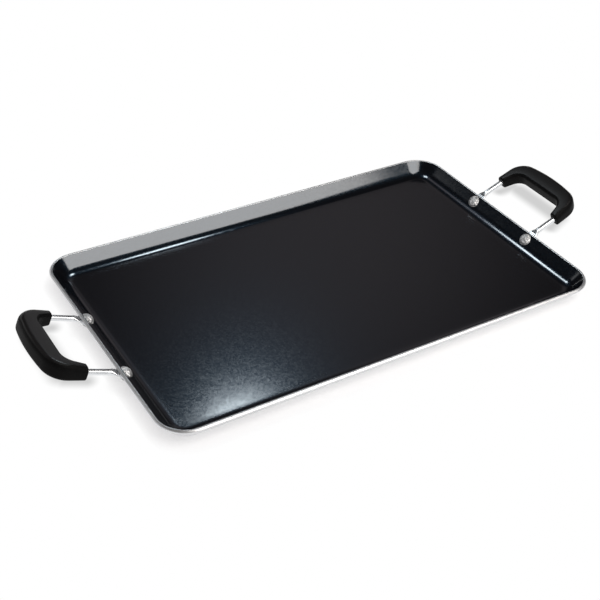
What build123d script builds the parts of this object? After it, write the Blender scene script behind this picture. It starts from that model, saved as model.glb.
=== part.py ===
from build123d import *
import os
from math import cos, radians, sin, tan

# A griddle pan for the stove top: a shallow pressed tray with a non-stick inside,
# and on each short side a riveted wire handle with a moulded grip.
# Millimetres. X runs from handle to handle, +Z is up, and the origin is the
# centre of the flat underside.

# Pan: one pressed aluminium sheet with flared walls
rim_length = 457.0          # overall, over the rounded rim edge
rim_width = 282.0
rim_corner_radius = 29.5    # outermost edge, seen from above
pan_height = 17.8
sheet_thickness = 3.5
wall_flare = 40.0           # degrees from upright
floor_bend = 15.0           # inside radius between floor and wall
rim_edge_round = 1.2        # both edges of the rim, which is trimmed square to the wall

# Non-stick coating over the inside
coating_thickness = 0.3

# Rivets, square to the wall
rivet_spacing = 84.0        # centre to centre on one wall
rivet_drop = 7.1            # down the slope from the coating's upper edge
rivet_head_diameter = 12.8
rivet_head_height = 3.9
rivet_shank_diameter = 5.0
rivet_tail_diameter = 10.0
rivet_tail_height = 2.6
rivet_clearance = 0.05      # radial, round the shank and the head

# Handle wire, with both ends hammered flat into tabs
wire_diameter = 5.5
tab_width = 9.6
tab_thickness = 2.5
tab_straight = 7.0          # from the rivet to the start of the bend
tab_bend = 7.0              # centre-line radius where the tab leaves the wall
tab_swell = 4.0             # length over which the flat tab becomes round wire
handle_rise = 22.0          # degrees above level
handle_reach = 55.0         # from the bend's corner to the loop's cross bar
loop_corner_radius = 16.0   # centre line of the wire's two corners

# Moulded grip, in the plane of the loop
grip_clearance = 0.1        # radial, round the wire
grip_arm_length = 26.8      # cross bar's centre line back to the grip's ends
grip_end_width = 10.5
grip_inner_depth = 9.5      # cross bar's centre line to the straight inner edge
grip_outer_depth = 10.0     # cross bar's centre line to the top of the outer bow
grip_shoulder_drop = 5.5    # fall of the outer bow from its middle to its shoulders
grip_shoulder_in = 3.0      # shoulders inside the outer sides of the arm ends
grip_elbow_in = 4.0         # inner corners inside the inner sides of the arm ends
grip_shoulder_radius = 20.0
grip_elbow_radius = 12.0
grip_middle_thickness = 15.5
grip_end_thickness = 12.5
grip_edge_round = 3.0       # inner side and underside
grip_crest_round = 5.0      # outer side, above
grip_end_round = 1.2        # round the two end faces

flare = radians(wall_flare)
rise = radians(handle_rise)
up_slope = Vector(sin(flare), 0, cos(flare))
out_of_wall = Vector(cos(flare), 0, -sin(flare))
along_leg = Vector(cos(rise), 0, sin(rise))
off_leg = Vector(-sin(rise), 0, cos(rise))
half_span = rivet_spacing / 2

# The reference outline is the coating's upper edge, where the rim's rounding starts
rim_overhang = (sheet_thickness - rim_edge_round) * cos(flare) + rim_edge_round
inner_length = rim_length - 2 * rim_overhang
inner_width = rim_width - 2 * rim_overhang
inner_corner_radius = rim_corner_radius - rim_overhang
coating_edge = Vector(inner_length / 2, 0, pan_height - rim_edge_round * (1 - sin(flare)))


def sheet_line(depth, edge_round):
    """Wall and bend of the surface that lies this deep in the sheet, from the rim to the floor.

    The wall runs on past the coating's edge as far as the corner that the rim's rounding takes off.
    """
    floor_level = sheet_thickness - depth
    wall_end = coating_edge + out_of_wall * depth
    top = wall_end + up_slope * edge_round
    foot = wall_end - up_slope * ((wall_end.Z - floor_level) / cos(flare))
    tangent = (floor_bend + depth) * tan((radians(90) - flare) / 2)
    bend_top = foot + up_slope * tangent
    bend_foot = foot - Vector(tangent, 0, 0)
    wall = Line(top, bend_top)
    bend = TangentArc(bend_top, bend_foot, tangent=-up_slope)
    return top, wall, bend, bend_foot


def tray_layer(inner_depth, outer_depth, edge_round):
    """The tray between two depths of its sheet: walls swept round the outline, and the floor."""
    inner_top, inner_wall, inner_bend, inner_foot = sheet_line(inner_depth, edge_round)
    outer_top, outer_wall, outer_bend, outer_foot = sheet_line(outer_depth, edge_round)
    section = make_face([inner_wall, inner_bend, Line(inner_foot, outer_foot),
                         outer_bend, outer_wall, Line(outer_top, inner_top)])
    if edge_round:
        trimmed_edge = section.vertices().sort_by(Axis((0, 0, 0), up_slope))[-2:]
        section = fillet(trimmed_edge, edge_round)
    half_length = inner_length / 2
    half_width = inner_width / 2
    outline = FilletPolyline(
        (half_length, half_width), (-half_length, half_width),
        (-half_length, -half_width), (half_length, -half_width),
        radius=inner_corner_radius, close=True)
    walls = sweep(Pos(0, (outline @ 0).Y, 0) * section, path=outline)
    inset = half_length - inner_foot.X
    floor = RectangleRounded(inner_length - 2 * inset, inner_width - 2 * inset,
                             inner_corner_radius - inset)
    floor_underside = Pos(0, 0, sheet_thickness - outer_depth)
    return walls + extrude(floor_underside * floor, outer_depth - inner_depth)


def rivet_plane(across):
    """Plane on the right wall's inner face at one rivet, facing into the tray."""
    centre = coating_edge - up_slope * rivet_drop + Vector(0, across, 0)
    return Plane(centre, x_dir=up_slope, z_dir=-out_of_wall)


def rivet(across):
    """Dome-head rivet: head inside on the coating, shank, and a formed tail outside on the tab."""
    head_seat = coating_thickness
    tail_seat = -sheet_thickness - tab_thickness
    head_top = (0, head_seat + rivet_head_height)
    head_rim = (rivet_head_diameter / 2, head_seat)
    shank_top = (rivet_shank_diameter / 2, head_seat)
    shank_foot = (rivet_shank_diameter / 2, tail_seat)
    tail_rim = (rivet_tail_diameter / 2, tail_seat)
    tail_foot = (0, tail_seat - rivet_tail_height)
    half_section = make_face([
        TangentArc(head_top, head_rim, tangent=(1, 0)),
        Polyline(head_rim, shank_top, shank_foot, tail_rim),
        TangentArc(tail_foot, tail_rim, tangent=(1, 0)),
        Line(tail_foot, head_top)])
    return rivet_plane(across) * revolve(Plane.XZ * half_section, Axis.Z)


def rivet_cutter(across):
    """Cutter for one rivet: a hole through all that it joins, and a flat seat for the head in the bend."""
    hole_radius = rivet_shank_diameter / 2 + rivet_clearance
    seat_radius = rivet_head_diameter / 2 + rivet_clearance
    hole_length = 4 * (sheet_thickness + tab_thickness)  # well past both ends of the shank
    hole = Cylinder(hole_radius, hole_length)
    seat = extrude(Pos(0, 0, coating_thickness) * Circle(seat_radius), rivet_head_height)
    return rivet_plane(across) * (hole + seat)


# Centre line of a tab and its leg, seen from the side
tab_depth = sheet_thickness + tab_thickness / 2
tab_eye = coating_edge - up_slope * rivet_drop + out_of_wall * tab_depth
bend_angle = radians(90) - flare - rise
bend_tangent = tab_bend * tan(bend_angle / 2)
bend_start = tab_eye + up_slope * tab_straight
bend_corner = bend_start + up_slope * bend_tangent
bend_end = bend_corner + along_leg * bend_tangent
round_start = bend_end + along_leg * tab_swell
loop_plane = Plane(bend_corner, x_dir=along_leg, z_dir=off_leg)


def wire_section(point, direction, across, outline):
    """A cross-section set square to the wire, with its width along Y."""
    return Plane(point + Vector(0, across, 0), x_dir=(0, 1, 0), z_dir=direction) * outline


def wire_end(across):
    """One flattened end: the riveted eye, the tab bent off the wall, and the swell to round."""
    flat = SlotOverall(tab_width, tab_thickness)
    half_flat = flat & Pos(tab_width / 4, 0) * Rectangle(tab_width / 2, tab_thickness)
    eye_axis = Axis(tab_eye + Vector(0, across, 0), out_of_wall)
    eye = revolve(wire_section(tab_eye, up_slope, across, half_flat), eye_axis)
    shift = Pos(0, across, 0)
    tab_line = Wire([shift * Line(tab_eye, bend_start),
                     shift * TangentArc(bend_start, bend_end, tangent=up_slope)])
    tab = sweep(wire_section(tab_eye, up_slope, across, flat), path=tab_line)
    swell = loft([wire_section(bend_end, along_leg, across, flat),
                  wire_section(round_start, along_leg, across, Circle(wire_diameter / 2))])
    return eye + tab + swell - rivet_cutter(across)


def round_wire(radius):
    """Round bar of this radius along the legs and the cross bar of the loop."""
    leg_start = bend_tangent + tab_swell
    route = FilletPolyline(
        (leg_start, half_span), (handle_reach, half_span),
        (handle_reach, -half_span), (leg_start, -half_span), radius=loop_corner_radius)
    start = wire_section(round_start, along_leg, half_span, Circle(radius))
    return sweep(start, path=loop_plane * route)


def handle_wire():
    """The whole loop with its two flattened ends."""
    return round_wire(wire_diameter / 2) + wire_end(half_span) + wire_end(-half_span)


def mirrored(point):
    """The same point on the other side of the handle's middle."""
    return Vector(point.X, -point.Y)


def corners_at(outline, point):
    """The pair of corners of a flat outline at a point and at its mirror image."""
    places = (point, mirrored(point))
    return [v for v in outline.vertices() if min((Vector(v) - p).length for p in places) < 0.01]


def long_edges(blank):
    """Edges that run along the grip, without those round its two end faces."""
    end_edges = blank.faces().group_by(Axis.X)[0].edges()
    return blank.edges().filter_by(Axis.Z, reverse=True) - end_edges


def on_crest(edge):
    """Whether an edge of the grip lies above, on the outer side of the wire."""
    middle = edge @ 0.5
    outside = middle.X > handle_reach or abs(middle.Y) > half_span
    return outside and middle.Z > 0


def grip():
    """Moulded grip: an arch with a straight inner edge and a bowed outer edge, fuller in the middle."""
    arm_end = handle_reach - grip_arm_length
    far_end = handle_reach + grip_arm_length
    inner_edge = handle_reach - grip_inner_depth
    outer_edge = handle_reach + grip_outer_depth
    end_outer = half_span + grip_end_width / 2
    end_inner = half_span - grip_end_width / 2
    shoulder = Vector(outer_edge - grip_shoulder_drop, end_outer - grip_shoulder_in)
    elbow = Vector(inner_edge, end_inner - grip_elbow_in)
    arm = Polyline(shoulder, (arm_end, end_outer), (arm_end, end_inner), elbow)
    arch = make_face([
        arm, mirror(arm, Plane.XZ), Line(elbow, mirrored(elbow)),
        ThreePointArc(shoulder, (outer_edge, 0), mirrored(shoulder))])
    arch = fillet(corners_at(arch, shoulder), grip_shoulder_radius)
    arch = fillet(corners_at(arch, elbow), grip_elbow_radius)

    end_height = grip_end_thickness / 2
    crown = ThreePointArc((arm_end, end_height), (handle_reach, grip_middle_thickness / 2),
                          (far_end, end_height))
    side_view = make_face([
        crown, mirror(crown, Plane.XZ),
        Line((arm_end, -end_height), (arm_end, end_height)),
        Line((far_end, -end_height), (far_end, end_height))])
    blank = extrude(arch, grip_middle_thickness, both=True)
    blank = blank & extrude(Plane.XZ * side_view, rivet_spacing, both=True)
    blank = fillet([e for e in long_edges(blank) if not on_crest(e)], grip_edge_round)
    blank = fillet([e for e in long_edges(blank) if on_crest(e)], grip_crest_round)
    blank = fillet(blank.faces().group_by(Axis.X)[0].edges(), grip_end_round)
    return loop_plane * blank - round_wire(wire_diameter / 2 + grip_clearance)


pan = tray_layer(0, sheet_thickness, rim_edge_round)
coating = tray_layer(-coating_thickness, 0, 0)
for across in (half_span, -half_span):
    cutter = rivet_cutter(across)
    cutters = [cutter, mirror(cutter, Plane.YZ)]
    pan -= cutters
    coating -= cutters

handle_pieces = {
    "handle_wire_{}": handle_wire(),
    "grip_{}": grip(),
    "rivet_{}_front": rivet(-half_span),
    "rivet_{}_rear": rivet(half_span),
}

os.makedirs("parts", exist_ok=True)
export_step(pan, "parts/pan_body.step")
export_step(coating, "parts/nonstick_coating.step")
for name, piece in handle_pieces.items():
    export_step(piece, "parts/" + name.format("right") + ".step")
    export_step(mirror(piece, Plane.YZ), "parts/" + name.format("left") + ".step")
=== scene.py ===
from math import cos, pi, radians, sin, tan

import bmesh
import bpy
import numpy as np
from mathutils import Matrix, Vector


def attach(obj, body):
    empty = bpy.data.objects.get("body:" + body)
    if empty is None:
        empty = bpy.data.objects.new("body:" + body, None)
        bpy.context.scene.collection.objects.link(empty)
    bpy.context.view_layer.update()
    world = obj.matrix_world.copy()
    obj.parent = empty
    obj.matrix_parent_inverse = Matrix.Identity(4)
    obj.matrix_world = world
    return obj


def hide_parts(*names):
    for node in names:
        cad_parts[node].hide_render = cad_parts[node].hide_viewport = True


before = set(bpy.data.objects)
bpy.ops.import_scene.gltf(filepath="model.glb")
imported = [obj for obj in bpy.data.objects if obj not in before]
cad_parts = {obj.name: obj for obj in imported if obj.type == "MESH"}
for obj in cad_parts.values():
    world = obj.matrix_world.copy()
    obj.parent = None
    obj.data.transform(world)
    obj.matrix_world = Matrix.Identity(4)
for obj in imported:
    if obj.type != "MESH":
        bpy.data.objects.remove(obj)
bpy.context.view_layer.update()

# Pan body.
# One aluminium sheet, pressed into a shallow tray with flared walls and trimmed square at the rim.
# The outside and the rounded cut edge are bare metal. The pan and its handles are in millimetres.
rim_length, rim_width, rim_corner = 457.0, 282.0, 29.5
pan_height, sheet = 17.8, 3.5
flare = radians(40)
floor_bend = 15.0
rim_round = 1.2
overhang = (sheet - rim_round) * cos(flare) + rim_round
half_length, half_width = rim_length / 2 - overhang, rim_width / 2 - overhang
inner_corner = rim_corner - overhang
edge_level = pan_height - rim_round * (1 - sin(flare))
bend_inset = tan(flare) * (edge_level - sheet) + floor_bend * tan((pi / 2 - flare) / 2)
bend_level = sheet + floor_bend
mm = 0.001


def outline(stations_per_side, stations_per_corner):
    """The rim's inner edge as centres and outward directions: a centre plus radius times direction.

    A corner keeps its centre and turns its direction, and a side keeps its direction and moves its centre.
    """
    turns, centres = [], []
    straight_half = np.array([half_length, half_width]) - inner_corner
    corners = np.array([(1, 1), (-1, 1), (-1, -1), (1, -1)]) * straight_half
    for i in range(4):
        turns.append(np.radians(np.linspace(90 * i, 90 * i + 90, stations_per_corner)))
        centres.append(np.repeat(corners[i:i + 1], stations_per_corner, 0))
        along = np.linspace(0, 1, stations_per_side)[1:-1, None]
        turns.append(np.full(len(along), radians(90 * i + 90)))
        centres.append(corners[i] * (1 - along) + corners[(i + 1) % 4] * along)
    turns, centres = np.concatenate(turns + [[0.0]]), np.concatenate(centres + [corners[:1]])
    return centres, np.stack([np.cos(turns), np.sin(turns)], -1)


def sheet_face(depth):
    """Section of the face this deep in the sheet: offset from the rim's inner edge, level, share of floor.

    The floor runs flat from the middle out, the bend is an arc about the bend's centre from straight down
    to square off the wall, and the wall is straight up to the rim.
    """
    floor_rows = 6
    radius = floor_bend + depth
    turn = np.linspace(-pi / 2, -flare, 15)
    offset = np.concatenate([np.full(floor_rows, -bend_inset), -bend_inset + radius * np.cos(turn)])
    level = np.concatenate([np.full(floor_rows, bend_level - radius), bend_level + radius * np.sin(turn)])
    rise = np.linspace(0, 1, 9)[1:]
    offset = np.append(offset, offset[-1] + (depth * cos(flare) - offset[-1]) * rise)
    level = np.append(level, level[-1] + (edge_level - depth * sin(flare) - level[-1]) * rise)
    share = np.append(np.linspace(0, 0.97, floor_rows), np.ones(len(level) - floor_rows))
    return np.stack([offset, level, share], -1)


def rim_edge():
    """Section of the rim's edge: a quarter circle up from the inner face, and one down to the outer face.

    Each point goes into the sheet, square to the wall, and up along the wall.
    """
    turn = np.linspace(0, pi / 2, 11)
    into = np.append(rim_round * (1 - np.cos(turn)), sheet - rim_round * (1 - np.sin(turn)))
    up = rim_round * np.append(np.sin(turn), np.cos(turn))
    offset = into * cos(flare) + up * sin(flare)
    level = edge_level - into * sin(flare) + up * cos(flare)
    return np.stack([offset, level, np.ones_like(level)], -1)


def round_the_rim(section):
    """Carries a section round the outline: each point lies its offset outside the line, at its level."""
    centres, directions = outline(34, 25)
    offset, level, share = (section[:, None, i] for i in range(3))
    flat = share[..., None] * (centres + (inner_corner + offset)[..., None] * directions)
    return np.concatenate([flat, np.broadcast_to(level, flat.shape[:2])[..., None]], -1)


def solid(name, points, material, node):
    """A closed piece from a grid of points: a quad between each four neighbours.

    Points that coincide are merged, which closes the seam and the poles, and the faces are turned outwards.
    """
    rows, columns = points.shape[:2]
    index = np.arange(rows * columns).reshape(rows, columns)
    quads = np.stack([index[:-1, :-1], index[:-1, 1:], index[1:, 1:], index[1:, :-1]], -1).reshape(-1, 4)
    mesh = bpy.data.meshes.new(name)
    mesh.from_pydata((points.reshape(-1, 3) * mm).tolist(), [], quads.tolist())
    shape = bmesh.new()
    shape.from_mesh(mesh)
    bmesh.ops.remove_doubles(shape, verts=shape.verts, dist=1e-6)
    bmesh.ops.recalc_face_normals(shape, faces=shape.faces)
    shape.to_mesh(mesh)
    shape.free()
    mesh.shade_smooth()
    mesh.set_sharp_from_angle(angle=radians(38))
    mesh.materials.append(material)
    piece = bpy.data.objects.new(name, mesh)
    bpy.context.scene.collection.objects.link(piece)
    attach(piece, "root")
    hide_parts(node)


def linear(colour):
    """An sRGB hex value as linear RGBA."""
    value = np.array([int(colour[i:i + 2], 16) for i in (1, 3, 5)]) / 255
    value = np.where(value <= 0.04045, value / 12.92, ((value + 0.055) / 1.055) ** 2.4)
    return (*value, 1.0)


def add(tree, kind, inputs=(), **settings):
    """Adds a node with its settings, and gives each input, by name or number, a value or a link."""
    node = tree.nodes.new(kind)
    for key, value in settings.items():
        setattr(node, key, value)
    for key, value in dict(inputs).items():
        if isinstance(value, bpy.types.NodeSocket):
            tree.links.new(value, node.inputs[key])
        else:
            node.inputs[key].default_value = value
    return node


def new_material(name):
    """An empty material and its node tree."""
    material = bpy.data.materials.new(name)
    material.use_nodes = True
    material.node_tree.nodes.clear()
    return material, material.node_tree


# Pressed aluminium, washed after the press: satin, with a fine grain about 0.5 mm wide
# and faint cloudy patches some 25 mm wide where the sheet slid in the die.
bare_aluminium, tree = new_material("pressed_aluminium")
where = add(tree, "ShaderNodeTexCoord").outputs["Object"]
grain = add(tree, "ShaderNodeTexNoise", {"Vector": where, "Scale": 1 / (0.5 * mm), "Detail": 2.0})
clouds = add(tree, "ShaderNodeTexNoise", {"Vector": where, "Scale": 1 / (25 * mm), "Detail": 3.0})
tone = add(tree, "ShaderNodeMix", {
    "Factor": clouds.outputs["Fac"], 6: linear("#dcdddf"), 7: linear("#eaeaeb")}, data_type="RGBA")
gloss = add(tree, "ShaderNodeMapRange", {
    "Value": grain.outputs["Fac"], "From Min": 0.3, "From Max": 0.7, "To Min": 0.42, "To Max": 0.52})
bump = add(tree, "ShaderNodeBump", {"Height": grain.outputs["Fac"], "Strength": 0.08, "Distance": 0.1 * mm})
shader = add(tree, "ShaderNodeBsdfPrincipled", {
    "Base Color": tone.outputs[2], "Metallic": 1.0, "Roughness": gloss.outputs["Result"],
    "Normal": bump.outputs["Normal"]})
add(tree, "ShaderNodeOutputMaterial", {"Surface": shader.outputs["BSDF"]})
pan_section = np.concatenate([sheet_face(0.0), rim_edge()[1:-1], sheet_face(sheet)[::-1]])
solid("pressed_pan", round_the_rim(pan_section), bare_aluminium, "pan_body")

# Non-stick coating.
# A black baked-on coat over the whole inside of the tray, up to the rim's inner edge.
# Fine metal flakes in it glitter where the light catches them.
coating = 0.3

# Baked non-stick paint with metal flakes: a slightly blurred mirror of the room, strongest at a flat angle.
# Each flake lies at its own slight tilt and is a little duller or brighter than the next, so a lamp's
# reflection breaks up into glitter, with a wide bluish shimmer round it. Real flakes are about 0.2 mm wide,
# too fine to show, so they are drawn 1.6 mm wide.
nonstick, tree = new_material("flaked_nonstick_coating")
where = add(tree, "ShaderNodeTexCoord").outputs["Object"]
flakes = add(tree, "ShaderNodeTexVoronoi", {"Vector": where, "Scale": 1 / (1.6 * mm)}).outputs["Color"]
lean = add(tree, "ShaderNodeVectorMath", {0: flakes, 1: (0.5, 0.5, 0.5)}, operation="SUBTRACT")
lean = add(tree, "ShaderNodeVectorMath", {0: lean.outputs[0], "Scale": 0.006}, operation="SCALE")
flat = add(tree, "ShaderNodeNewGeometry").outputs["Normal"]
facet = add(tree, "ShaderNodeVectorMath", {0: flat, 1: lean.outputs[0]}, operation="ADD")
facet = add(tree, "ShaderNodeVectorMath", {0: facet.outputs[0]}, operation="NORMALIZE")
shine = add(tree, "ShaderNodeSeparateColor", {"Color": flakes})
gloss = add(tree, "ShaderNodeMapRange", {"Value": shine.outputs["Blue"], "To Min": 0.11, "To Max": 0.18})
shader = add(tree, "ShaderNodeBsdfPrincipled", {
    "Base Color": linear("#080708"), "Roughness": gloss.outputs["Result"], "IOR": 1.8,
    "Normal": facet.outputs[0]})
shimmer = add(tree, "ShaderNodeBsdfAnisotropic", {"Color": linear("#001420"), "Roughness": 0.3})
both = add(tree, "ShaderNodeAddShader", {0: shader.outputs["BSDF"], 1: shimmer.outputs["BSDF"]})
add(tree, "ShaderNodeOutputMaterial", {"Surface": both.outputs["Shader"]})
coat_section = np.concatenate([sheet_face(-coating), sheet_face(0.0)[::-1]])
solid("coating", round_the_rim(coat_section), nonstick, "nonstick_coating")

# Rivets.
# Four solid aluminium rivets, set square to the short walls: a dome head inside, a shank through
# coating, wall and tab, and a tail formed outside on the tab.
rivet_spacing, rivet_drop = 84.0, 7.1
head_radius, head_height = 6.4, 3.9
shank_radius, tail_radius, tail_height = 2.5, 5.0, 2.6
tab_thickness = 2.5
half_span = rivet_spacing / 2
across_axis = np.array([0.0, 1.0, 0.0])
once_round = np.radians(np.linspace(0, 360, 49))
up_slope = np.array([sin(flare), 0, cos(flare)])
out_of_wall = np.array([cos(flare), 0, -sin(flare)])
coating_edge = np.array([half_length, 0, edge_level])


def dome(radius, height, rows):
    """Half section of a dome from its top down: an arc that is level at the top and ends at the radius."""
    ball = (radius ** 2 + height ** 2) / (2 * height)
    turn = np.linspace(0, np.arcsin(radius / ball), rows)
    return np.stack([ball * np.sin(turn), height - ball * (1 - np.cos(turn))], -1)


def rivet(side, across):
    """Turns the rivet's half section about an axis square to the wall: head, shank and tail."""
    head = dome(head_radius, head_height, 15) + (0, coating)
    tail = (dome(tail_radius, tail_height, 11) * (1, -1) - (0, sheet + tab_thickness))[::-1]
    section = np.concatenate([head, [(shank_radius, coating), (shank_radius, -sheet - tab_thickness)], tail])
    radial = up_slope * np.cos(once_round)[:, None] + across_axis * np.sin(once_round)[:, None]
    centre = coating_edge - up_slope * rivet_drop + across * across_axis
    points = centre + section[:, None, :1] * radial - section[:, None, 1:] * out_of_wall
    return points * (side, 1, 1)


# Cold-headed aluminium, tumbled bright: a satin shine, broken up by shallow dents about 3 mm wide
# and by rubbed spots half as wide.
tumbled_aluminium, tree = new_material("tumbled_rivet_aluminium")
where = add(tree, "ShaderNodeTexCoord").outputs["Object"]
dents = add(tree, "ShaderNodeTexNoise", {"Vector": where, "Scale": 1 / (3 * mm), "Detail": 1.0})
bump = add(tree, "ShaderNodeBump", {"Height": dents.outputs["Fac"], "Strength": 1.0, "Distance": 3 * mm})
rub = add(tree, "ShaderNodeTexNoise", {"Vector": where, "Scale": 1 / (1.5 * mm), "Detail": 3.0})
gloss = add(tree, "ShaderNodeMapRange", {
    "Value": rub.outputs["Fac"], "From Min": 0.3, "From Max": 0.7, "To Min": 0.48, "To Max": 0.62})
shader = add(tree, "ShaderNodeBsdfPrincipled", {
    "Base Color": linear("#f4f4f4"), "Metallic": 1.0, "Roughness": gloss.outputs["Result"],
    "Normal": bump.outputs["Normal"]})
add(tree, "ShaderNodeOutputMaterial", {"Surface": shader.outputs["BSDF"]})
for side_name, side in (("right", 1), ("left", -1)):
    for end_name, across in (("front", -half_span), ("rear", half_span)):
        solid(f"dome_rivet_{side_name}_{end_name}", rivet(side, across), tumbled_aluminium,
              f"rivet_{side_name}_{end_name}")

# Handle wires.
# Each handle is a loop of chromed steel wire. Its two ends are hammered flat into tabs, which lie
# against the wall under the rivets and bend off it, and the flats run out into the round wire.
wire_radius = 2.75
tab_half = 4.8
tab_straight, tab_bend, tab_swell = 7.0, 7.0, 4.0
handle_rise = radians(22)
handle_reach, loop_corner = 55.0, 16.0
along_leg = np.array([cos(handle_rise), 0, sin(handle_rise)])
off_leg = np.array([-sin(handle_rise), 0, cos(handle_rise)])
tab_eye = coating_edge - up_slope * rivet_drop + out_of_wall * (sheet + tab_thickness / 2)
bend_turn = pi / 2 - flare - handle_rise
bend_tangent = tab_bend * tan(bend_turn / 2)
bend_corner = tab_eye + up_slope * (tab_straight + bend_tangent)


def handle_wire(side):
    """Carries the wire's section along half the loop and mirrors it for the other half.

    The line is the tab, its bend, the leg, the corner and half the cross bar. The section is flat over its
    middle and falls to its edges as a quarter ellipse. Width, height and flat are the tab's up to the bend,
    and change evenly to a circle over the swell, where the leg starts. Round the tab's end the fall follows
    the distance from the rivet instead.
    """
    tip = -tab_half * np.cos(np.linspace(0, pi / 2, 12))
    along_tab = np.concatenate([tip, np.linspace(0, tab_straight, 5)[1:]])
    bend = np.linspace(0, bend_turn, 9)[1:, None]
    run = np.linspace(0, tab_swell, 13)[1:]
    leg = np.linspace(bend_tangent + tab_swell, handle_reach - loop_corner, 7)[1:]
    along_arm = np.concatenate([bend_tangent + run, leg])
    corner = np.linspace(0, pi / 2, 13)[1:, None]
    bar = np.linspace(half_span - loop_corner, 0, 5)[1:, None]
    bend_centre = tab_eye + up_slope * tab_straight + tab_bend * out_of_wall

    centre = half_span * across_axis + np.concatenate([
        tab_eye + along_tab[:, None] * up_slope,
        bend_centre + tab_bend * (np.sin(bend) * up_slope - np.cos(bend) * out_of_wall),
        bend_corner + along_arm[:, None] * along_leg,
        bend_corner + (handle_reach - loop_corner + loop_corner * np.sin(corner)) * along_leg
        - loop_corner * (1 - np.cos(corner)) * across_axis,
        bend_corner + handle_reach * along_leg - (half_span - bar) * across_axis])
    count = len(along_tab), len(bend), len(along_arm), len(corner), len(bar)
    wide = np.concatenate([
        np.repeat([across_axis], sum(count[:3]), 0),
        np.cos(corner) * across_axis + np.sin(corner) * along_leg,
        np.repeat([along_leg], count[4], 0)])
    high = np.concatenate([
        np.repeat([-out_of_wall], count[0], 0),
        -np.sin(bend) * up_slope - np.cos(bend) * out_of_wall,
        np.repeat([off_leg], sum(count[2:]), 0)])

    flat_rows = count[0] + count[1]
    round_rows = len(centre) - flat_rows - len(run)
    swell = np.concatenate([np.zeros(flat_rows), run / tab_swell, np.ones(round_rows)])
    half_wide = tab_half + (wire_radius - tab_half) * swell
    half_high = tab_thickness / 2 + (wire_radius - tab_thickness / 2) * swell
    flat = (tab_half - tab_thickness / 2) * (1 - swell)
    past_rivet = np.concatenate([-np.minimum(along_tab, 0), np.zeros(len(centre) - count[0])])
    reach = np.sqrt(np.maximum(half_wide ** 2 - past_rivet ** 2, 0))
    out = reach[:, None] * np.cos(once_round)
    distance = np.hypot(out, past_rivet[:, None])
    fall = np.clip((distance - flat[:, None]) / (half_wide - flat)[:, None], 0, 1)
    up = half_high[:, None] * np.sqrt(1 - fall ** 2) * np.sign(np.sin(once_round).round(9))
    half = centre[:, None] + out[..., None] * wide[:, None] + up[..., None] * high[:, None]
    return np.concatenate([half, half[-2::-1] * (1, -1, 1)]) * (side, 1, 1)


# Chrome plate on drawn steel: it mirrors the room as bright and dark lines along the wire, a little blurred,
# and more or less so in patches about 2 mm wide, left by the drawing.
chrome, tree = new_material("chromed_steel_wire")
where = add(tree, "ShaderNodeTexCoord").outputs["Object"]
drawn = add(tree, "ShaderNodeTexNoise", {"Vector": where, "Scale": 1 / (2 * mm), "Detail": 3.0})
gloss = add(tree, "ShaderNodeMapRange", {
    "Value": drawn.outputs["Fac"], "From Min": 0.3, "From Max": 0.7, "To Min": 0.22, "To Max": 0.32})
shader = add(tree, "ShaderNodeBsdfPrincipled", {
    "Base Color": linear("#e2e4e6"), "Metallic": 1.0, "Roughness": gloss.outputs["Result"]})
add(tree, "ShaderNodeOutputMaterial", {"Surface": shader.outputs["BSDF"]})
for side_name, side in (("right", 1), ("left", -1)):
    solid(f"wire_loop_{side_name}", handle_wire(side), chrome, f"handle_wire_{side_name}")

# Grips.
# Black phenolic resin, moulded round the wire's cross bar and corners in one piece: an arch with a
# straight inner edge and a bowed outer edge, fullest in the middle, with soft edges.
arm_length, end_width = 26.8, 10.5
inner_depth, outer_depth = 9.5, 10.0
shoulder_drop, shoulder_in, shoulder_round = 5.5, 3.0, 20.0
elbow_in, elbow_round = 4.0, 12.0
middle_half, end_half = 7.75, 6.25
edge_round, crest_round, end_round = 3.0, 5.0, 1.2


def unit(vector):
    """The direction of a vector, at length one."""
    return vector / np.linalg.norm(vector)


def heading(vector):
    """The angle of a flat vector from the first axis."""
    return np.arctan2(vector[1], vector[0])


def arc(centre, radius, first, last, rows):
    """Points on a circle about a centre, from the first angle to the last."""
    turn = np.linspace(first, last, rows)
    return centre + radius * np.stack([np.cos(turn), np.sin(turn)], -1)


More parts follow.
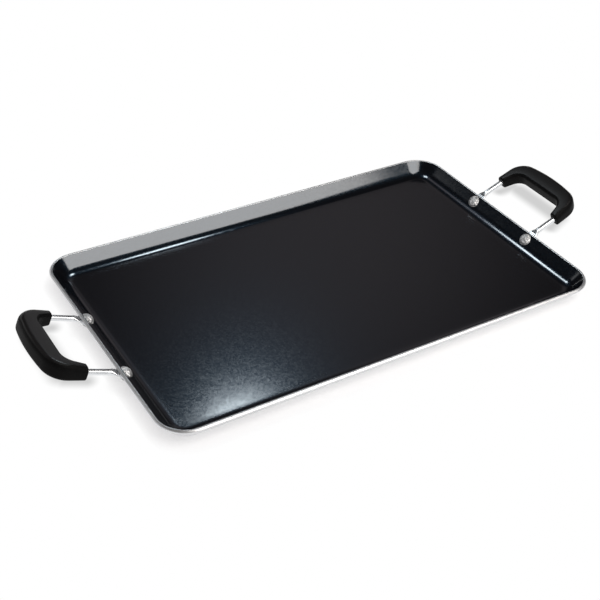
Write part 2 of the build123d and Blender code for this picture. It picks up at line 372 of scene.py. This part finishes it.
def grip(side):
    """Carries a rounded section along the arch between its outer and inner edge lines.

    The outer line is the arm, an arc at the shoulder that touches the arm and the bow, and half the bow. The
    inner line is the arm, an arc at the elbow and half the straight edge. The section has a quarter circle
    at each corner, and its height is scaled by the crown, a shallow arc over the arch. It shrinks along a
    quarter circle at the arm's end and closes at the wire. The other half of the arch mirrors this one.
    """
    arm_end = handle_reach - arm_length
    outer_tip = np.array([arm_end, half_span + end_width / 2])
    bow_edge = handle_reach + outer_depth
    shoulder = np.array([bow_edge - shoulder_drop, outer_tip[1] - shoulder_in])
    bow = (shoulder[1] ** 2 + shoulder_drop ** 2) / (2 * shoulder_drop)
    bow_centre = np.array([bow_edge - bow, 0])
    arm = unit(shoulder - outer_tip)
    inward = np.array([arm[1], -arm[0]])
    start = outer_tip + shoulder_round * inward - bow_centre
    run = -start @ arm + np.sqrt((start @ arm) ** 2 - start @ start + (bow - shoulder_round) ** 2)
    shoulder_centre = bow_centre + start + run * arm
    bow_start = heading(shoulder_centre - bow_centre)
    outer_arc = arc(shoulder_centre, shoulder_round, heading(-inward), bow_start, 17)
    outer_bow = arc(bow_centre, bow, bow_start, 0, 13)[1:]

    inner_tip = np.array([arm_end, half_span - end_width / 2])
    inner_edge = handle_reach - inner_depth
    elbow = np.array([inner_edge, inner_tip[1] - elbow_in])
    arm = unit(elbow - inner_tip)
    inward = np.array([arm[1], -arm[0]])
    setback = elbow_round * tan((pi / 2 + heading(arm)) / 2)
    elbow_centre = elbow - arm * setback + inward * elbow_round
    inner_arc = arc(elbow_centre, elbow_round, heading(-inward), 0, 17)
    inner_bar = np.stack([np.full(12, inner_edge), np.linspace(inner_arc[-1, 1], 0, 13)[1:]], -1)

    along = np.linspace(0, 1, 11)[:-1, None]
    begin = np.array([end_round, 0])
    outer = np.concatenate([(outer_tip + begin) * (1 - along) + outer_arc[0] * along, outer_arc, outer_bow])
    inner = np.concatenate([(inner_tip + begin) * (1 - along) + inner_arc[0] * along, inner_arc, inner_bar])
    close = np.radians(np.linspace(0, 90, 7))[:-1]
    outer = np.concatenate([outer[0] - np.cos(close)[:, None] * begin, outer])
    inner = np.concatenate([inner[0] - np.cos(close)[:, None] * begin, inner])
    inset = np.concatenate([end_round * (1 - np.sin(close)), np.zeros(len(outer) - len(close))])[:, None]

    quarter = np.radians(np.linspace(0, 90, 11))
    turn = np.append(np.concatenate([quarter + i * pi / 2 for i in range(4)]), 0)
    corner = np.append(np.repeat(np.arange(4), len(quarter)), 0)
    radius = np.array([crest_round, edge_round, edge_round, edge_round])[corner]
    right = np.array([1, -1, -1, 1])[corner]
    top = np.array([1, 1, -1, -1])[corner]
    half_wide = np.linalg.norm(outer - inner, axis=1)[:, None] / 2
    across = right * (half_wide - radius) + (radius - inset) * np.cos(turn)
    up = top * (end_half - radius) + (radius - inset) * np.sin(turn)
    flat = (outer + inner)[:, None] / 2 + across[..., None] * ((outer - inner) / (2 * half_wide))[:, None]
    crown = (arm_length ** 2 + (middle_half - end_half) ** 2) / (2 * (middle_half - end_half))
    height = middle_half - crown + np.sqrt(crown ** 2 - (flat[..., 0] - handle_reach) ** 2)
    half = np.concatenate([flat, (up * height / end_half)[..., None]], -1)
    wire_end = np.broadcast_to([arm_end, half_span, 0.0], (1,) + half.shape[1:])
    half = np.concatenate([wire_end, half])
    arch = np.concatenate([half, half[-2::-1] * (1, -1, 1)])
    return (bend_corner + arch @ np.stack([along_leg, across_axis, off_leg])) * (side, 1, 1)


# Moulded phenolic: near black, with dull sides. Faces that point up get a painted sheen: a slightly lighter
# tone and a stronger, sharper shine, set by the way they face, not by wear. The mould's grit is about 0.2 mm
# wide, too fine to show, so it is drawn 0.8 mm wide.
phenolic, tree = new_material("moulded_phenolic")
where = add(tree, "ShaderNodeTexCoord").outputs["Object"]
grit = add(tree, "ShaderNodeTexNoise", {"Vector": where, "Scale": 1 / (0.8 * mm), "Detail": 2.0})
bump = add(tree, "ShaderNodeBump", {"Height": grit.outputs["Fac"], "Strength": 0.08, "Distance": 0.1 * mm})
facing = add(tree, "ShaderNodeSeparateXYZ", {"Vector": add(tree, "ShaderNodeTexCoord").outputs["Normal"]})
# Painted sheen: this mask rises on faces that point up, and lightens and shines them whatever the lamps do.
painted_top_sheen = add(tree, "ShaderNodeMapRange", {
    "Value": facing.outputs["Z"], "From Min": 0.78, "From Max": 0.95}, interpolation_type="SMOOTHSTEP")
painted_top_sheen = painted_top_sheen.outputs["Result"]
gloss = add(tree, "ShaderNodeMapRange", {"Value": painted_top_sheen, "To Min": 0.5, "To Max": 0.34})
painted_sheen_level = add(tree, "ShaderNodeMapRange", {"Value": painted_top_sheen, "To Min": 0.05, "To Max": 0.55})
# Painted light: up-facing faces get the lighter of the two tones.
tone = add(tree, "ShaderNodeMix", {
    "Factor": painted_top_sheen, 6: linear("#0c0c0c"), 7: linear("#0f0e0e")}, data_type="RGBA")
shader = add(tree, "ShaderNodeBsdfPrincipled", {
    "Base Color": tone.outputs[2], "Roughness": gloss.outputs["Result"],
    "Specular IOR Level": painted_sheen_level.outputs["Result"], "Normal": bump.outputs["Normal"]})
add(tree, "ShaderNodeOutputMaterial", {"Surface": shader.outputs["BSDF"]})
for side_name, side in (("right", 1), ("left", -1)):
    solid(f"moulded_grip_{side_name}", grip(side), phenolic, f"grip_{side_name}")

# Studio floor.
# A white paper floor that runs into the white background. It darkens close under the rim, and the handles'
# soft shadows, to the right and to the rear, are drawn on it from the handles' own lines.
floor_half, floor_level = 6.0, -0.0002
contact = 0.016
shadow_lean = np.array([0.42, 0.65, -1.0])
shadow_light = 0.63
arm_inset = 6.0


def bar_shade(start, end, core, edge):
    """Light that is left in a bar's soft shadow: least within the core distance of its line, all past the
    edge distance, and evenly eased between. The line joins the bar's two ends, each brought down to the
    floor along the shadow's lean. Lengths are in millimetres.
    """
    start, end = ((point + point[2] * shadow_lean) * mm for point in (start, end))
    line = end - start
    off = add(tree, "ShaderNodeVectorMath", {0: where, 1: start}, operation="SUBTRACT").outputs[0]
    along = add(tree, "ShaderNodeVectorMath", {0: off, 1: line / (line @ line)}, operation="DOT_PRODUCT")
    along = add(tree, "ShaderNodeClamp", {"Value": along.outputs["Value"]})
    nearest = add(tree, "ShaderNodeVectorMath", {0: line, "Scale": along.outputs[0]}, operation="SCALE")
    away = add(tree, "ShaderNodeVectorMath", {0: off, 1: nearest.outputs[0]}, operation="DISTANCE")
    light = add(tree, "ShaderNodeMapRange", {
        "Value": away.outputs["Value"], "From Min": core * mm, "From Max": edge * mm,
        "To Min": shadow_light, "To Max": 1.0}, interpolation_type="SMOOTHSTEP")
    return light.outputs["Result"]


# Matt white paper: plain white wherever it is seen or mirrored, and a matt reflector for all other light.
# Where something stands close above, part of the white gives way to the lit paper, which is in shadow there.
floor_paper, tree = new_material("white_paper")
where = add(tree, "ShaderNodeTexCoord").outputs["Object"]
rays = add(tree, "ShaderNodeLightPath")
seen = add(tree, "ShaderNodeMath", {
    0: rays.outputs["Is Camera Ray"], 1: rays.outputs["Is Glossy Ray"]}, operation="MAXIMUM")
seen = add(tree, "ShaderNodeMath", {
    0: seen.outputs[0], 1: rays.outputs["Is Transmission Ray"]}, operation="MAXIMUM")
open_air = add(tree, "ShaderNodeAmbientOcclusion", {"Distance": contact})
fade = add(tree, "ShaderNodeMapRange", {
    "Value": open_air.outputs["AO"], "From Min": 0.3, "From Max": 1.0, "To Min": 0.4, "To Max": 1.0})
share = add(tree, "ShaderNodeMath", {0: seen.outputs[0], 1: fade.outputs["Result"]}, operation="MULTIPLY")
shade = 1.0
for side in (1, -1):
    bar = (bend_corner + handle_reach * along_leg) * (side, 1, 1)
    arm = (bend_corner + (handle_reach - arm_length + arm_inset) * along_leg) * (side, 1, 1)
    bar_end, arm_top = (half_span - elbow_round) * across_axis, (half_span - elbow_in) * across_axis
    arm_foot = half_span * across_axis
    for light in (bar_shade(bar - bar_end, bar + bar_end, core=3, edge=19),
                  bar_shade(arm + arm_foot, bar + arm_top, core=0, edge=13),
                  bar_shade(arm - arm_foot, bar - arm_top, core=0, edge=13)):
        shade = add(tree, "ShaderNodeMath", {0: shade, 1: light}, operation="MINIMUM").outputs[0]
matt = add(tree, "ShaderNodeBsdfDiffuse", {"Color": linear("#ffffff")})
white = add(tree, "ShaderNodeEmission", {"Color": linear("#ffffff"), "Strength": shade})
lit = add(tree, "ShaderNodeMixShader", {0: share.outputs[0], 1: matt.outputs[0], 2: white.outputs[0]})
clear = add(tree, "ShaderNodeBsdfTransparent")
underneath = add(tree, "ShaderNodeNewGeometry").outputs["Backfacing"]
paper = add(tree, "ShaderNodeMixShader", {0: underneath, 1: lit.outputs[0], 2: clear.outputs[0]})
add(tree, "ShaderNodeOutputMaterial", {"Surface": paper.outputs[0]})
corners = np.array([(-1, -1), (1, -1), (1, 1), (-1, 1)]) * floor_half
floor_mesh = bpy.data.meshes.new("studio_floor")
floor_mesh.from_pydata([(x, y, floor_level) for x, y in corners.tolist()], [], [(0, 1, 2, 3)])
floor_mesh.materials.append(floor_paper)
floor = bpy.data.objects.new("studio_floor", floor_mesh)
bpy.context.scene.collection.objects.link(floor)

# Studio lamps.
# A large soft box and a far card in front, low cards to the left and the rear left, and a small
# round lamp behind. Places and sizes are in metres, and powers in watts.


def lamp(name, shape, place, size, power, colour):
    """A flat lamp, turned to the middle of the pan."""
    light = bpy.data.lights.new(name, "AREA")
    light.shape = shape
    light.size, light.size_y = size
    light.energy, light.color = power, linear(colour)[:3]
    holder = bpy.data.objects.new(name, light)
    holder.location = place
    holder.rotation_mode = "QUATERNION"
    holder.rotation_quaternion = (-Vector(place)).to_track_quat("-Z", "Y")
    bpy.context.scene.collection.objects.link(holder)


lamp("front_soft_box", "RECTANGLE", (0.286, -0.570, 0.778), (0.825, 0.6), 6.5, "#fffbf7")
lamp("front_card", "RECTANGLE", (0.813, -2.234, 0.773), (2.33, 1.1), 8.0, "#ffffff")
lamp("left_card", "RECTANGLE", (-1.6, -0.1, 0.5), (2.2, 0.75), 4.0, "#ffffff")
lamp("rear_left_card", "RECTANGLE", (-0.943, 1.047, 0.513), (1.2, 0.5), 1.2, "#ffffff")
lamp("rear_lamp", "DISK", (0.108, 0.326, 0.552), (0.144, 0.144), 0.65, "#edf9ff")

# Studio room.
# White to the camera, and white near the horizon in reflections, where the floor runs out. Higher up,
# reflections see a dark room with three soft glows, and all other light gets an even fill.
fill_light, dark_room = 0.36, 0.015
white_up_to = 0.1
world = bpy.data.worlds.new("studio")
bpy.context.scene.world = world
world.use_nodes = True
tree = world.node_tree
tree.nodes.clear()
rays = add(tree, "ShaderNodeLightPath")
direction = add(tree, "ShaderNodeTexCoord").outputs["Generated"]
height = add(tree, "ShaderNodeSeparateXYZ", {"Vector": direction})
horizon = add(tree, "ShaderNodeMapRange", {
    "Value": height.outputs["Z"], "From Min": 0.0, "From Max": white_up_to, "To Min": 1.0, "To Max": 0.0},
    interpolation_type="SMOOTHSTEP")
mirrored = add(tree, "ShaderNodeMath", {
    0: rays.outputs["Is Glossy Ray"], 1: rays.outputs["Is Transmission Ray"]}, operation="MAXIMUM")
mirrored = add(tree, "ShaderNodeMath", {
    0: mirrored.outputs[0], 1: horizon.outputs["Result"]}, operation="MULTIPLY")
share = add(tree, "ShaderNodeMath", {
    0: rays.outputs["Is Camera Ray"], 1: mirrored.outputs[0]}, operation="MAXIMUM")


def glow_at(azimuth, elevation, outer, inner, dark, bright):
    """Brightness of a round soft glow, in degrees: bright within the inner angle, dark past the outer one."""
    azimuth, elevation = radians(azimuth), radians(elevation)
    middle = (sin(azimuth) * cos(elevation), cos(azimuth) * cos(elevation), sin(elevation))
    near = add(tree, "ShaderNodeVectorMath", {0: direction, 1: middle}, operation="DOT_PRODUCT")
    off = add(tree, "ShaderNodeMath", {0: near.outputs["Value"]}, operation="ARCCOSINE")
    glow = add(tree, "ShaderNodeMapRange", {
        "Value": off.outputs[0], "From Min": radians(outer), "From Max": radians(inner),
        "To Min": dark, "To Max": bright}, interpolation_type="SMOOTHSTEP")
    return glow.outputs["Result"]


glow = glow_at(azimuth=33.7, elevation=33.6, outer=16.5, inner=2, dark=dark_room, bright=0.18)
for other in (glow_at(azimuth=37, elevation=17, outer=11, inner=4, dark=0.0, bright=0.22),
              glow_at(azimuth=-10, elevation=52, outer=9, inner=4, dark=0.0, bright=0.5)):
    glow = add(tree, "ShaderNodeMath", {0: glow, 1: other}, operation="MAXIMUM").outputs[0]
fill = add(tree, "ShaderNodeMix", {0: rays.outputs["Is Glossy Ray"], 2: fill_light, 3: glow})
dim = add(tree, "ShaderNodeBackground", {"Color": linear("#fff3f7"), "Strength": fill.outputs[0]})
white = add(tree, "ShaderNodeBackground", {"Color": linear("#ffffff"), "Strength": 1.0})
room = add(tree, "ShaderNodeMixShader", {0: share.outputs[0], 1: dim.outputs[0], 2: white.outputs[0]})
add(tree, "ShaderNodeOutputWorld", {"Surface": room.outputs[0]})
bpy.context.scene.view_settings.view_transform = "Standard"

# Camera.
# A short telephoto view from the front left and above, with a slight roll.
# It stands about a metre from the pan, which gives the far side its narrower look.
azimuth, elevation, roll = radians(-32.898), radians(36.346), radians(2.951)
camera_place = Vector((-0.48975, -0.7230, 0.6254))
back = Vector((sin(azimuth) * cos(elevation), -cos(azimuth) * cos(elevation), sin(elevation)))
level = Vector((0, 0, 1)).cross(back).normalized()
upright = back.cross(level)
right = level * cos(roll) + upright * sin(roll)
up = upright * cos(roll) - level * sin(roll)
lens = bpy.data.cameras.new("camera")
lens.sensor_width, lens.lens = 36.0, 66.54
camera = bpy.data.objects.new("camera", lens)
camera.matrix_world = Matrix.Translation(camera_place) @ Matrix((right, up, back)).transposed().to_4x4()
bpy.context.scene.collection.objects.link(camera)
bpy.context.scene.camera = camera
